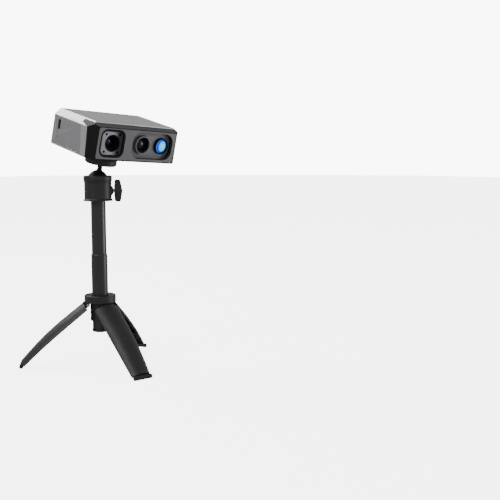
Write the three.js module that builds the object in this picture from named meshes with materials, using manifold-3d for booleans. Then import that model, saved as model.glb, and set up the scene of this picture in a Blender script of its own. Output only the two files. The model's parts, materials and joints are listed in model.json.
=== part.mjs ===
// A pocket 3D scanner standing on its folding mini tripod.
// Millimetres, +Z up. The scanner looks along -Y. The origin is the middle of the box round the object,
// on the ground that the feet stand on.

import * as THREE from 'three';
import { mergeVertices } from 'three/addons/utils/BufferGeometryUtils.js';
import Module from 'manifold-3d';

const wasm = await Module();
wasm.setup();

// ---------------------------------------------------------------- driving dimensions

const GAP = 0.3; // room between pieces that touch
const DEG = Math.PI / 180;
const ROUND = 28; // sides of a large round piece
const BARREL_ROUND = 24; // sides of a lens barrel
const SMALL_ROUND = 16; // sides of a small round piece

// tripod
const LEG_AZIMUTHS = [24.3, 144.3, 264.3];
const LEG_SPREAD = 48.5; // angle between an open leg and the pole
const HINGE_R = 11.8;
const HINGE_Z = 59.2;
const LEG_LENGTH = 85.6; // hinge to the middle of the foot
const LEG_START = 2.3; // the arched shell begins this far below the hinge
const LEG_CHORD = -2.7; // the open side of the leg, measured outwards from the hinge
const LEG_CAMBER = 1.2; // how far the leg bows outwards between hinge and foot
const LEG_WALL = 1.9;
const LUG_HALF = 3.2;
const LUG_R = 1.75;
const PIN_R = 0.8;
const FOOT_R = 2.1;
const FOOT_N = -0.6;

const RING_R = 15.1;
const RING_BOTTOM = 61.3;
const RING_TOP = 68.5;
const LOWER_TUBE_R = 7.75;
const LOWER_TUBE_WALL = 0.4;
const LOWER_TUBE_TOP = 108;
const STUB_R = 9.6;
const STUB_BOTTOM = 43.3;
const CAP_BOTTOM = 32.4;
const CAP_TOP = 35;
const UPPER_TUBE_R = 7.05;
const UPPER_TUBE_WALL = 0.6;
const UPPER_TUBE_BOTTOM = 92;

// ball head
const BALL_Z = 179;
const BALL_R = 10;
const HOUSING_BOTTOM = 159.3;
const HOUSING_TOP = 183.6;
const HOUSING_R = 12.85;
const KNOB_AZIMUTH = 324.3;
const KNOB_Z = 169;
const KNOB_HALF = 10.5;
const STEM_R = 2.4;
const PLATFORM_R = 15.1;
const PLATFORM_BOTTOM = 16.05; // above the ball's centre, along the stem
const PLATFORM_THICK = 6.2;
const PAD_THICK = 1;
const NOD = 13.75; // the head nods down towards the front
const ROLL = 2.9;

// scanner, in its own frame: x across, y from the front plane to the back, z from the underside up
const BODY_HALF = 52.1;
const BODY_DEPTH = 64.6;
const BODY_HEIGHT = 34.2;
const CHAMFER_X = 6.45;
const CHAMFER_Z = 6;
const BOTTOM_ROUND = 1.6;
const BACK_ROUND = 1.6;
const WALL = 2;
const SCANNER_ABOVE_BALL = 25.95;
const MOUNT = { x: -16.4, y: 29.9 };
const BOSS_THICK = 1.8;

const JOINT_Y = 6.3; // the front frame meets the shell here at the underside
const JOINT_SLOPE = 0.122; // and this much further back for each millimetre up
const BEAK_Y = 21.5;
const BEAK_LOW = 30.6;
const LIP_Z = 32.9;
const LIP_Y = 5.94;
const FACE_HALF = 45.7;
const FACE_TOP = 30.6;
const FACE_BOTTOM = 0.9;
const AXIS_Z = 16;

const WINDOW = { x: -28.7, z: 15.95, halfX: 13.6, halfZ: 12.9, r: 7 };
const RECESS = { x: 17.8, z: 15.8, halfX: 23.8, halfZ: 12.6, r: 9, floor: 5 };
const CAMERA_X = -28.4;
const DEPTH_X = 8.1;
const PROJECTOR_X = 31.2;
const PORT = { y: 53.9, z: 20.4, half: 4.9, r: 1.95 };
const STATUS = { y: 54.4, z: 9, r: 0.75 };

// ---------------------------------------------------------------- materials

function material(color, roughness, metalness) {
  return new THREE.MeshStandardMaterial({ color, roughness, metalness });
}

const looks = {
  silver: material(0xa6a6a9, 0.45, 0.5),
  panel: material(0x8a8a8d, 0.5, 0.4),
  frame: material(0x242427, 0.35, 0.1),
  face: material(0x67666b, 0.5, 0.2),
  black: material(0x121214, 0.4, 0),
  lampPlate: material(0xb4b4b8, 0.35, 0.8),
  glass: material(0x0b0b12, 0.05, 0),
  blueGlass: material(0x3fa9ff, 0.05, 0),
  plastic: material(0x2b2b2d, 0.6, 0),
  rubber: material(0x1a1a1a, 0.9, 0),
  blackMetal: material(0x2f2f31, 0.4, 0.6),
  steel: material(0x9a9ca0, 0.3, 1),
  aluminium: material(0xb9bcc0, 0.4, 0.9),
  brass: material(0xb08d4f, 0.35, 1),
  board: material(0x1d5a34, 0.6, 0),
};

// ---------------------------------------------------------------- solids

function outward(geometry) {
  // turns a closed surface inside out if its faces point inwards
  const position = geometry.attributes.position;
  const index = geometry.index.array;
  const [a, b, c] = [new THREE.Vector3(), new THREE.Vector3(), new THREE.Vector3()];
  let volume = 0;
  for (let i = 0; i < index.length; i += 3) {
    a.fromBufferAttribute(position, index[i]);
    b.fromBufferAttribute(position, index[i + 1]);
    c.fromBufferAttribute(position, index[i + 2]);
    volume += a.dot(b.cross(c));
  }
  if (volume < 0) {
    for (let i = 0; i < index.length; i += 3) {
      [index[i], index[i + 1]] = [index[i + 1], index[i]];
    }
  }
  return geometry;
}

function welded(geometry) {
  const copy = geometry.clone();
  copy.deleteAttribute('normal');
  copy.deleteAttribute('uv');
  return outward(mergeVertices(copy, 1e-4));
}

function solid(geometry) {
  const clean = welded(geometry);
  return new wasm.Manifold(new wasm.Mesh({
    numProp: 3,
    vertProperties: new Float32Array(clean.attributes.position.array),
    triVerts: new Uint32Array(clean.index.array),
  }));
}

function surface(manifold) {
  const mesh = manifold.getMesh();
  const geometry = new THREE.BufferGeometry();
  geometry.setAttribute('position', new THREE.BufferAttribute(mesh.vertProperties, 3));
  geometry.setIndex(new THREE.BufferAttribute(mesh.triVerts, 1));
  return geometry;
}

function cut(body, ...tools) {
  return surface(tools.reduce((left, tool) => left.subtract(solid(tool)), solid(body)));
}

function join(body, ...more) {
  return surface(more.reduce((sum, piece) => sum.add(solid(piece)), solid(body)));
}

function meet(body, ...more) {
  return surface(more.reduce((sum, piece) => sum.intersect(solid(piece)), solid(body)));
}

function revolve(profile, sides = ROUND) {
  // profile: [radius, height] pairs; the axis becomes Z
  const points = profile.map(([r, h]) => new THREE.Vector2(r, h));
  return welded(new THREE.LatheGeometry(points, sides).rotateX(Math.PI / 2));
}

function ring(outer, inner, low, high, sides = ROUND) {
  return revolve([[inner, low], [outer, low], [outer, high], [inner, high], [inner, low]], sides);
}

function rod(r, low, high, sides = SMALL_ROUND) {
  return revolve([[0, low], [r, low], [r, high], [0, high]], sides);
}

function arcPoints(r, from, to, steps, centre = 0) {
  // [radius, height] pairs on a circle about the axis, angles in degrees up from the equator
  return Array.from({ length: steps + 1 }, (_, i) => {
    const angle = (from + (to - from) * i / steps) * DEG;
    return [r * Math.cos(angle), centre + r * Math.sin(angle)];
  });
}

function polygon(points) {
  return new THREE.Shape(points.map(([u, v]) => new THREE.Vector2(u, v)));
}

function roundedRect(x, z, halfX, halfZ, r) {
  const shape = new THREE.Shape();
  shape.absarc(x + halfX - r, z - halfZ + r, r, -Math.PI / 2, 0);
  shape.absarc(x + halfX - r, z + halfZ - r, r, 0, Math.PI / 2);
  shape.absarc(x - halfX + r, z + halfZ - r, r, Math.PI / 2, Math.PI);
  shape.absarc(x - halfX + r, z - halfZ + r, r, Math.PI, 1.5 * Math.PI);
  shape.closePath();
  return shape;
}

function extruded(shape, depth, curveSegments = 5) {
  return new THREE.ExtrudeGeometry(shape, { depth, bevelEnabled: false, curveSegments });
}

// a shape drawn in x and z, from y0 back to y1
function frontSlab(shape, y0, y1) {
  return welded(extruded(shape, y1 - y0).rotateX(Math.PI / 2).translate(0, y1, 0));
}

// a shape drawn in y and z, from x0 to x1
function sideSlab(shape, x0, x1) {
  const turn = new THREE.Matrix4().makeBasis(
    new THREE.Vector3(0, 1, 0),
    new THREE.Vector3(0, 0, 1),
    new THREE.Vector3(1, 0, 0),
  );
  return welded(extruded(shape, x1 - x0).applyMatrix4(turn).translate(x0, 0, 0));
}

// a shape drawn in x and y, from z0 up to z1
const planSlab = (shape, z0, z1) => welded(extruded(shape, z1 - z0).translate(0, 0, z0));

function box(x0, x1, y0, y1, z0, z1) {
  const geometry = new THREE.BoxGeometry(x1 - x0, y1 - y0, z1 - z0);
  return welded(geometry.translate((x0 + x1) / 2, (y0 + y1) / 2, (z0 + z1) / 2));
}

// a round piece whose axis runs straight back from the scanner's front
function lens(profile, x, z, sides = BARREL_ROUND) {
  return revolve(profile, sides).rotateX(-Math.PI / 2).translate(x, 0, z);
}

function bore(x, z, r, y0, y1) {
  return rod(r, y0, y1, BARREL_ROUND).rotateX(-Math.PI / 2).translate(x, 0, z);
}

function loft(rings) {
  // closes a stack of convex rings that have the same number of points
  const count = rings[0].length;
  const position = [];
  const index = [];
  rings.flat().forEach((point) => position.push(...point));
  for (let layer = 0; layer + 1 < rings.length; layer += 1) {
    for (let i = 0; i < count; i += 1) {
      const a = layer * count + i;
      const b = layer * count + (i + 1) % count;
      index.push(a, b, b + count, a, b + count, a + count);
    }
  }
  const last = (rings.length - 1) * count;
  for (let i = 1; i + 1 < count; i += 1) {
    index.push(0, i + 1, i, last, last + i, last + i + 1);
  }
  const geometry = new THREE.BufferGeometry();
  geometry.setAttribute('position', new THREE.Float32BufferAttribute(position, 3));
  geometry.setIndex(new THREE.BufferAttribute(new Uint32Array(index), 1));
  return outward(geometry);
}

function named(name, geometry, look) {
  const mesh = new THREE.Mesh(geometry, look);
  mesh.name = name;
  geometry.computeVertexNormals();
  return mesh;
}

function group(...children) {
  const result = new THREE.Group();
  result.add(...children);
  return result;
}

// ---------------------------------------------------------------- tripod base

function cheeks(extra = 0) {
  // the two ears that hold one hinge pin, in a frame where x runs outwards and y along the pin
  const r = 1.9 + extra;
  const ear = new THREE.Shape();
  ear.absarc(HINGE_R, HINGE_Z, r, Math.PI, 2 * Math.PI);
  ear.lineTo(HINGE_R + r, RING_BOTTOM + 1);
  ear.lineTo(HINGE_R - r, RING_BOTTOM + 1);
  ear.closePath();
  const inner = LUG_HALF + 0.4;
  return [inner, -inner - 2].map((y) => frontSlab(ear, y, y + 2));
}

const pinAt = (r, from, to) => rod(r, from, to, 12).rotateX(-Math.PI / 2).translate(HINGE_R, 0, HINGE_Z);

function legHub() {
  const bored = LOWER_TUBE_R + GAP;
  const body = revolve([
    [bored, RING_BOTTOM], [RING_R, RING_BOTTOM], [RING_R, RING_TOP - 0.7], [RING_R - 0.7, RING_TOP],
    [bored + 3.6, RING_TOP], [bored + 3.2, RING_TOP - 0.6], [bored, RING_TOP - 0.6], [bored, RING_BOTTOM],
  ]);
  const ears = LEG_AZIMUTHS.flatMap((azimuth) => cheeks().map((ear) => ear.rotateZ(azimuth * DEG)));
  const holes = LEG_AZIMUTHS.map((azimuth) => pinAt(PIN_R + GAP, -7, 7).rotateZ(azimuth * DEG));
  return cut(join(body, ...ears), ...holes);
}

function lowerTube() {
  return ring(LOWER_TUBE_R, LOWER_TUBE_R - LOWER_TUBE_WALL, CAP_TOP + GAP, LOWER_TUBE_TOP);
}

function stubSleeve() {
  const inner = LOWER_TUBE_R + GAP;
  return revolve([
    [inner, STUB_BOTTOM], [STUB_R - 0.8, STUB_BOTTOM], [STUB_R, STUB_BOTTOM + 0.8],
    [STUB_R, RING_BOTTOM - GAP], [inner, RING_BOTTOM - GAP], [inner, STUB_BOTTOM],
  ]);
}

function bottomCap() {
  const plug = LOWER_TUBE_R - LOWER_TUBE_WALL - GAP;
  const flange = LOWER_TUBE_R + 0.3;
  return revolve([
    [0, CAP_BOTTOM], [flange - 1.4, CAP_BOTTOM], [flange - 0.4, CAP_BOTTOM + 0.4],
    [flange, CAP_BOTTOM + 1.4], [flange, CAP_TOP],
    [plug, CAP_TOP], [plug, CAP_TOP + 1.3], [0, CAP_TOP + 1.3],
  ]);
}

// ---------------------------------------------------------------- legs

// A leg is drawn with s along it from the hinge, n outwards and t across. It is placed open.
const legHalfWidth = (s) => 13.1 - 3.4 * (s / LEG_LENGTH) ** 2.6;

function legCamber(s) {
  const t = Math.min(Math.max(s, 0) / LEG_LENGTH, 1);
  return LEG_CAMBER * Math.sin(Math.PI * t ** 1.3);
}

function legRise(s) {
  // height of the arch over its chord
  const taper = (Math.max(0, s / LEG_LENGTH - 0.35) / 0.65) ** 1.3;
  return 7.1 + 0.8 * Math.sin(Math.PI * Math.min(s / 80, 1)) - 1.5 * taper;
}

function legRing(s, inset) {
  // half-moon section: an arc over the chord on the leg's open side
  const half = legHalfWidth(s) - inset;
  const chord = LEG_CHORD + legCamber(s);
  const rise = legRise(s) - inset;
  const radius = (half ** 2 + rise ** 2) / (2 * rise);
  const centre = chord + rise - radius;
  const reach = Math.asin(Math.min(1, half / radius));
  const steps = 8;
  const arc = Array.from({ length: steps + 1 }, (_, i) => {
    const angle = reach * (1 - 2 * i / steps);
    return [s, centre + radius * Math.cos(angle), radius * Math.sin(angle)];
  });
  return inset > 0 ? [[s, chord - 3, -half], [s, chord - 3, half], ...arc] : arc;
}

function placeLeg(geometry, azimuth) {
  // s, n, t to the open leg's place
  const spread = LEG_SPREAD * DEG;
  const along = new THREE.Vector3(Math.sin(spread), 0, -Math.cos(spread));
  const out = new THREE.Vector3(Math.cos(spread), 0, Math.sin(spread));
  const across = new THREE.Vector3(0, 1, 0);
  const turn = new THREE.Matrix4().makeBasis(along, out, across).setPosition(HINGE_R, 0, HINGE_Z);
  return outward(geometry.clone().applyMatrix4(turn).rotateZ(azimuth * DEG));
}

// a shape drawn in s and n, as wide as the given half width each way
function legSlab(shape, half) {
  return welded(extruded(shape, 2 * half).translate(0, 0, -half));
}

function leg() {
  const end = LEG_LENGTH - FOOT_R - GAP;
  const stations = Array.from({ length: 7 }, (_, i) => LEG_START + (end - LEG_START) * i / 6);
  const outer = loft(stations.map((s) => legRing(s, 0)));
  const inner = loft([LEG_START - 2, ...stations.slice(1, -1), end - 2.5].map((s) => legRing(s, LEG_WALL)));
  const rib = (s) => legSlab(polygon([[s, -1.4], [s + 1.3, -1.4], [s + 1.3, 7], [s, 7]]), 14);
  const spine = legSlab(polygon([[LEG_START, -0.8], [74, -1], [74, 6], [LEG_START, 6]]), 0.7);
  const channel = cut(outer, inner);
  const braces = meet(outer, join(spine, ...[24, 42, 60].map(rib)));
  const eye = new THREE.Shape();
  eye.absarc(0, 0, LUG_R, Math.PI, 1.5 * Math.PI);
  eye.lineTo(9, -LUG_R);
  eye.lineTo(9, LEG_CHORD + legRise(9) - 0.6);
  eye.lineTo(LEG_START, LEG_CHORD + legRise(LEG_START) - 0.2);
  eye.lineTo(-0.5, LUG_R + 0.1);
  eye.absarc(0, 0, LUG_R, 105 * DEG, Math.PI);
  const hole = legSlab(polygon(arcPoints(PIN_R + GAP, 0, 330, 11)), 8);
  return cut(join(channel, braces, legSlab(eye, LUG_HALF)), hole);
}

function footPad() {
  // a rounded rubber end as wide as the leg's tip, with a narrow flat where it stands when the leg is open
  const half = legHalfWidth(LEG_LENGTH) - 0.2;
  const profile = [
    [0, -half], [FOOT_R - 0.9, -half], [FOOT_R, -half + 0.9],
    [FOOT_R, half - 0.9], [FOOT_R - 0.9, half], [0, half],
  ];
  const ground = box(-4, 4, -9, -FOOT_R + 0.15, -11, 11).rotateZ((90 - LEG_SPREAD) * DEG);
  return cut(revolve(profile, SMALL_ROUND), ground).translate(LEG_LENGTH, FOOT_N, 0);
}

// ---------------------------------------------------------------- pole and ball head

function upperTube() {
  return ring(UPPER_TUBE_R, UPPER_TUBE_R - UPPER_TUBE_WALL, UPPER_TUBE_BOTTOM, HOUSING_BOTTOM + 3);
}

function slidePlug() {
  // closes the upper tube's lower end and runs in the lower tube
  const inside = UPPER_TUBE_R - UPPER_TUBE_WALL - GAP;
  const low = UPPER_TUBE_BOTTOM - 5;
  return revolve([
    [0, low], [UPPER_TUBE_R - 0.5, low], [UPPER_TUBE_R, low + 0.5], [UPPER_TUBE_R, UPPER_TUBE_BOTTOM - GAP],
    [inside, UPPER_TUBE_BOTTOM - GAP], [inside, UPPER_TUBE_BOTTOM + 4], [0, UPPER_TUBE_BOTTOM + 4],
  ]);
}

// pieces that lie along the knob's axis are turned about Z and put at the knob's height
function alongKnob(geometry) {
  return geometry.rotateY(Math.PI / 2).translate(0, 0, KNOB_Z).rotateZ(KNOB_AZIMUTH * DEG);
}

function clampHousing() {
  const socket = BALL_R + 0.35;
  const rim = Math.sqrt(socket ** 2 - (HOUSING_TOP - BALL_Z) ** 2);
  const rimAngle = Math.asin((HOUSING_TOP - BALL_Z) / socket) / DEG;
  const body = revolve([
    [UPPER_TUBE_R + GAP, HOUSING_BOTTOM], [14, HOUSING_BOTTOM], [13.9, HOUSING_BOTTOM + 0.7],
    [HOUSING_R, HOUSING_BOTTOM + 2.2], [HOUSING_R, 176.5], [13.5, 179.6], [13.5, HOUSING_TOP - 1.2],
    [12.9, HOUSING_TOP - 0.2], [12.2, HOUSING_TOP], [rim, HOUSING_TOP],
    ...arcPoints(socket, rimAngle, 0, 4, BALL_Z).slice(1),
    [socket, 165], [3, 165], [3, 163.2], [UPPER_TUBE_R + GAP, 163.2], [UPPER_TUBE_R + GAP, HOUSING_BOTTOM],
  ]);
  const bossProfile = [[0, 11.4], [4.9, 11.4], [4.9, 12.8], [2.7, 14.8], [0, 14.8]];
  const boss = alongKnob(revolve(bossProfile, SMALL_ROUND));
  const pocket = revolve([[0, 0], [socket, 0], [socket, 40], [0, 40]]).translate(0, 0, 150);
  const hole = alongKnob(rod(1.85, 9, 18, 16));
  return cut(join(body, cut(boss, pocket)), hole);
}

function ballSeat() {
  // a ring under the ball's lower half, which it grips when the knob screw pushes it
  const socket = BALL_R + 0.35;
  const low = 171.5;
  const high = 175;
  const angleAt = (z) => Math.asin((z - BALL_Z) / socket) / DEG;
  const inner = arcPoints(socket, angleAt(low), angleAt(high), 3, BALL_Z);
  return revolve([...inner, [10, high], [10, low], inner[0]]);
}

const clampShoe = () => alongKnob(rod(1.9, 6.7, 9.8, 16));
const knobScrew = () => alongKnob(rod(1.5, 10.2, 20, 16));

function wingKnob() {
  // drawn with x outwards from the pole and z up, bulging in the middle
  const outline = polygon([
    [15.3, -5], [15.9, -KNOB_HALF + 0.6], [17.6, -KNOB_HALF], [21.4, -KNOB_HALF], [21.9, -KNOB_HALF + 0.8],
    [22.6, -5], [23.2, -1.6], [23.2, 1.6], [22.6, 5], [21.3, KNOB_HALF - 0.8],
    [20.8, KNOB_HALF], [16.3, KNOB_HALF], [15.7, KNOB_HALF - 0.6], [15.3, 5],
  ]);
  const side = frontSlab(outline, -5, 5);
  const face = sideSlab(polygon([
    [-3, -11], [3, -11], [3.6, -6], [4.6, -2], [4.6, 2], [3.6, 6], [3, 11], [-3, 11], [-3.6, 6], [-4.6, 2],
    [-4.6, -2], [-3.6, -6],
  ]), 15, 24);
  const blind = rod(1.85, 15, 20.4, 16).rotateY(Math.PI / 2);
  return cut(meet(side, face), blind).translate(0, 0, KNOB_Z).rotateZ(KNOB_AZIMUTH * DEG);
}

// the ball, its platform and all above it are drawn with the ball's centre at the origin
function ballStud() {
  const neck = 75;
  const ball = arcPoints(BALL_R, -90, neck, 10).slice(1);
  const top = PLATFORM_BOTTOM + 2;
  return revolve([[0, -BALL_R], ...ball, [STEM_R, BALL_R + 1.2], [STEM_R, top], [0, top]], 28);
}

function platform() {
  const top = PLATFORM_BOTTOM + PLATFORM_THICK;
  const outer = revolve([
    [0, PLATFORM_BOTTOM], [PLATFORM_R - 0.8, PLATFORM_BOTTOM], [PLATFORM_R, PLATFORM_BOTTOM + 0.8],
    [PLATFORM_R, top - 0.6], [PLATFORM_R - 0.6, top], [0, top],
  ]);
  const stemHole = rod(STEM_R + GAP, PLATFORM_BOTTOM - 1, PLATFORM_BOTTOM + 2.4);
  const studHole = rod(3.4, PLATFORM_BOTTOM + 3.2, top + 1);
  return cut(outer, stemHole, studHole);
}

function platformPad() {
  const low = PLATFORM_BOTTOM + PLATFORM_THICK + GAP;
  return ring(PLATFORM_R - 0.5, 3.5, low, low + PAD_THICK);
}

function mountStud() {
  const low = PLATFORM_BOTTOM + 3.5;
  const top = SCANNER_ABOVE_BALL + 5.6;
  return revolve([[0, low], [3.05, low], [3.05, top - 0.6], [2.5, top], [0, top]]);
}

// ---------------------------------------------------------------- scanner casing

function bodySection(inset = 0) {
  // the outline seen from the front: rounded below, chamfered at the upper corners
  const half = BODY_HALF - inset;
  const top = BODY_HEIGHT - inset;
  const low = inset;
  const r = Math.max(BOTTOM_ROUND - inset, 0.6);
  const shoulder = BODY_HEIGHT - CHAMFER_Z - inset * 0.35;
  const shape = new THREE.Shape();
  shape.absarc(half - r, low + r, r, -Math.PI / 2, 0);
  shape.lineTo(half, shoulder);
  shape.lineTo(BODY_HALF - CHAMFER_X - inset * 0.35, top);
  shape.lineTo(-(BODY_HALF - CHAMFER_X - inset * 0.35), top);
  shape.lineTo(-half, shoulder);
  shape.absarc(-half + r, low + r, r, Math.PI, 1.5 * Math.PI);
  shape.closePath();
  return shape;
}

function backCorners() {
  // rounds the two upright corners at the back
  const shape = new THREE.Shape();
  shape.moveTo(-BODY_HALF - 1, -2);
  shape.lineTo(BODY_HALF + 1, -2);
  shape.lineTo(BODY_HALF + 1, 1);
  shape.lineTo(BODY_HALF, 1);
  shape.absarc(BODY_HALF - BACK_ROUND, BODY_DEPTH - BACK_ROUND, BACK_ROUND, 0, Math.PI / 2);
  shape.absarc(-BODY_HALF + BACK_ROUND, BODY_DEPTH - BACK_ROUND, BACK_ROUND, Math.PI / 2, Math.PI);
  shape.lineTo(-BODY_HALF, 1);
  shape.lineTo(-BODY_HALF - 1, 1);
  shape.closePath();
  return planSlab(shape, -1, BODY_HEIGHT + 1);
}

const jointAt = (z) => JOINT_Y + JOINT_SLOPE * z;
const SHOULDER_Z = BODY_HEIGHT - CHAMFER_Z;

// everything in front of the shell's leaning edge, with the step under its lip
function frontRegion() {
  return sideSlab(polygon([
    [-5, -5], [jointAt(-5), -5], [jointAt(SHOULDER_Z), SHOULDER_Z], [BEAK_Y, BEAK_LOW], [BEAK_Y, LIP_Z],
    [LIP_Y, LIP_Z], [LIP_Y, 40], [-5, 40],
  ]), -BODY_HALF - 2, BODY_HALF + 2);
}

function endPanelOutline(grow) {
  // the flat cheek on each end, with a leaning front edge
  const front = (z) => 13.9 + 0.226 * z - grow;
  const back = BODY_DEPTH - BACK_ROUND - 0.5 + grow;
  const top = SHOULDER_Z - 0.6 + grow;
  const low = BOTTOM_ROUND + 0.5 - grow;
  return polygon([
    [front(low), low], [back - 1, low], [back, low + 1], [back, top - 0.6], [back - 0.6, top],
    [front(top) + 3, top], [front(top) + 0.8, top - 0.8], [front(top) - 0.3, top - 2.6],
  ]);
}

function portShape(grow = 0) {
  return roundedRect(PORT.y, PORT.z, PORT.r + grow, PORT.half + grow, PORT.r + grow);
}

const statusHole = () => rod(STATUS.r, -60, -45, 12).rotateY(Math.PI / 2).translate(0, STATUS.y, STATUS.z);

const BENCH_SCREWS = [[-46, 22], [-2, 22], [20.5, 22], [46, 22]];

function rearShell() {
  const outside = meet(frontSlab(bodySection(), 0, BODY_DEPTH), backCorners());
  const cavity = frontSlab(bodySection(WALL), -3, BODY_DEPTH - WALL);
  const posts = BENCH_SCREWS.map(([x, y]) => rod(2.6, 1, 3.2, 16).translate(x, y, 0));
  const recesses = [
    sideSlab(endPanelOutline(GAP), -BODY_HALF - 1, -BODY_HALF + 1.2),
    sideSlab(endPanelOutline(GAP), BODY_HALF - 1.2, BODY_HALF + 1),
  ];
  const port = sideSlab(portShape(), -BODY_HALF - 1, -BODY_HALF + 5);
  const mountHole = rod(3.5, -1, 4).translate(MOUNT.x, MOUNT.y, 0);
  const screwHoles = BENCH_SCREWS.map(([x, y]) => rod(1.4, 1.2, 5, 12).translate(x, y, 0));
  const walls = cut(outside, cavity, frontRegion(), ...recesses);
  return cut(join(walls, ...posts), port, statusHole(), mountHole, ...screwHoles);
}

function endPanel(side) {
  const outer = side * BODY_HALF;
  const inner = side * (BODY_HALF - 0.9);
  const plate = sideSlab(endPanelOutline(0), Math.min(outer, inner), Math.max(outer, inner));
  if (side > 0) {
    return plate;
  }
  return cut(plate, sideSlab(portShape(), -BODY_HALF - 1, -BODY_HALF + 5), statusHole());
}

function frameFacets() {
  // the front frame seen from above: flat in the middle, falling back to the joint at each end
  const outline = (z) => [
    [-FACE_HALF, 0, z], [FACE_HALF, 0, z], [BODY_HALF + 0.1, jointAt(z), z],
    [BODY_HALF + 0.1, 30, z], [-BODY_HALF - 0.1, 30, z], [-BODY_HALF - 0.1, jointAt(z), z],
  ];
  const under = LIP_Z - GAP;
  const side = polygon([[0, -1], [30, -1], [30, under], [LIP_Y - GAP, under], [0, FACE_TOP]]);
  const hood = sideSlab(side, -60, 60);
  return meet(loft([outline(-1), outline(35)]), hood);
}

function faceRect(inset) {
  const half = (FACE_TOP - FACE_BOTTOM) / 2;
  return roundedRect(0, FACE_BOTTOM + half, FACE_HALF - inset, half - inset + 0.2, 2);
}

function frontFrame() {
  // the visible rim lies inside the outline of the casing, and the tongue inside the shell
  const lowLine = (z) => jointAt(z) - GAP;
  const slope = (BEAK_LOW - SHOULDER_Z) / (BEAK_Y - jointAt(SHOULDER_Z));
  const beakLine = (y) => SHOULDER_Z + GAP + slope * (y - jointAt(SHOULDER_Z));
  const knee = SHOULDER_Z + 0.25;
  const region = sideSlab(polygon([
    [-1, -1], [lowLine(-1), -1], [lowLine(knee), knee], [BEAK_Y - GAP, beakLine(BEAK_Y - GAP)],
    [BEAK_Y - GAP, LIP_Z - GAP], [-1, LIP_Z - GAP],
  ]), -60, 60);
  const rim = meet(frontSlab(bodySection(), -1, 40), region);
  const tongue = frontSlab(bodySection(WALL + GAP), 0.5, 12);
  const seat = frontSlab(faceRect(0.2), -2, 2.3);
  const opening = frontSlab(roundedRect(0, 15.55, 43.4, 13.35, 2), -2, 40);
  return cut(meet(join(rim, tongue), frameFacets()), seat, opening);
}

function frontPlate() {
  const plate = faceRect(0.2 + GAP);
  plate.holes.push(roundedRect(WINDOW.x, WINDOW.z, WINDOW.halfX, WINDOW.halfZ, WINDOW.r));
  plate.holes.push(roundedRect(RECESS.x, RECESS.z, RECESS.halfX, RECESS.halfZ, RECESS.r));
  return frontSlab(plate, 0, 2);
}

// ---------------------------------------------------------------- cameras and projector

function windowInset(inset) {
  return roundedRect(WINDOW.x, WINDOW.z, WINDOW.halfX - inset, WINDOW.halfZ - inset, WINDOW.r - inset);
}

function windowBezel() {
  const tub = frontSlab(windowInset(GAP), 0.2, 4.5);
  const pocket = frontSlab(windowInset(1.8), -1, 2.7);
  return cut(tub, pocket, bore(CAMERA_X, AXIS_Z, 8.4, 1, 6));
}

function lampPlate() {
  const plate = frontSlab(windowInset(1.8 + GAP), 1, 2.3);
  const corners = [[-7.7, -8.2], [-7.7, 8.2], [7.3, -8.2], [7.3, 8.2]];
  const lampHole = ([x, z]) => bore(CAMERA_X + x, AXIS_Z + z, 1.1, 0, 4);
  return cut(plate, bore(CAMERA_X, AXIS_Z, 7.9, 0, 4), ...corners.map(lampHole));
}

function cameraBarrel() {
  return lens([
    [5.2, 7], [7.4, 2.8], [8, 2.8], [8, 9], [6.2, 9], [6.2, 19.5], [3, 19.5], [3, 12], [5.2, 12], [5.2, 7],
  ], CAMERA_X, AXIS_Z);
}

function glassDome(r, front, edge, back, x) {
  // a convex front over a straight edge and a flat back
  const rise = edge - front;
  const radius = (r ** 2 + rise ** 2) / (2 * rise);
  const steps = 3;
  const dome = Array.from({ length: steps }, (_, i) => {
    const angle = Math.asin(r / radius) * i / steps;
    return [radius * Math.sin(angle), front + radius * (1 - Math.cos(angle))];
  });
  return lens([...dome, [r, edge], [r, back], [0, back]], x, AXIS_Z);
}

const cameraLens = () => glassDome(4.9, 6.6, 8.4, 11, CAMERA_X);

function recessTray() {
  const r = RECESS;
  const outer = frontSlab(roundedRect(17.75, 15.55, 25.25, 13.05, 9.8), 2.3, r.floor + 1.5);
  const pocket = frontSlab(roundedRect(r.x, r.z, r.halfX, r.halfZ - 0.1, r.r), 1, r.floor);
  return cut(outer, pocket, bore(DEPTH_X, AXIS_Z, 9.05, 1, 9), bore(PROJECTOR_X, AXIS_Z, 7.95, 1, 9));
}

function depthRing() {
  const profile = [[7.5, 2.6], [8, 1.6], [8.7, 1.9], [8.7, 8.5], [7.5, 8.5], [7.5, 2.6]];
  return lens(profile, DEPTH_X, AXIS_Z);
}

function depthBarrel() {
  return lens([
    [5.6, 6], [6.9, 3], [7.2, 3], [7.2, 9], [6.2, 9], [6.2, 19.5], [3, 19.5], [3, 11], [5.6, 11], [5.6, 6],
  ], DEPTH_X, AXIS_Z);
}

const depthLens = () => glassDome(5.3, 5, 7, 10, DEPTH_X);

const projectorHood = () => lens([
  [6.9, 3.2], [7.1, 2.5], [7.6, 2.5], [7.6, 8.5], [6.9, 8.5], [6.9, 3.2],
], PROJECTOR_X, AXIS_Z);

const projectorLens = () => glassDome(6.55, 3, 5, 7, PROJECTOR_X);
const projectorBarrel = () => lens([
  [4.6, 7.4], [6.5, 7.4], [6.5, 21.6], [4.6, 21.6], [4.6, 7.4],
], PROJECTOR_X, AXIS_Z);

// ---------------------------------------------------------------- inside the scanner

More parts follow.
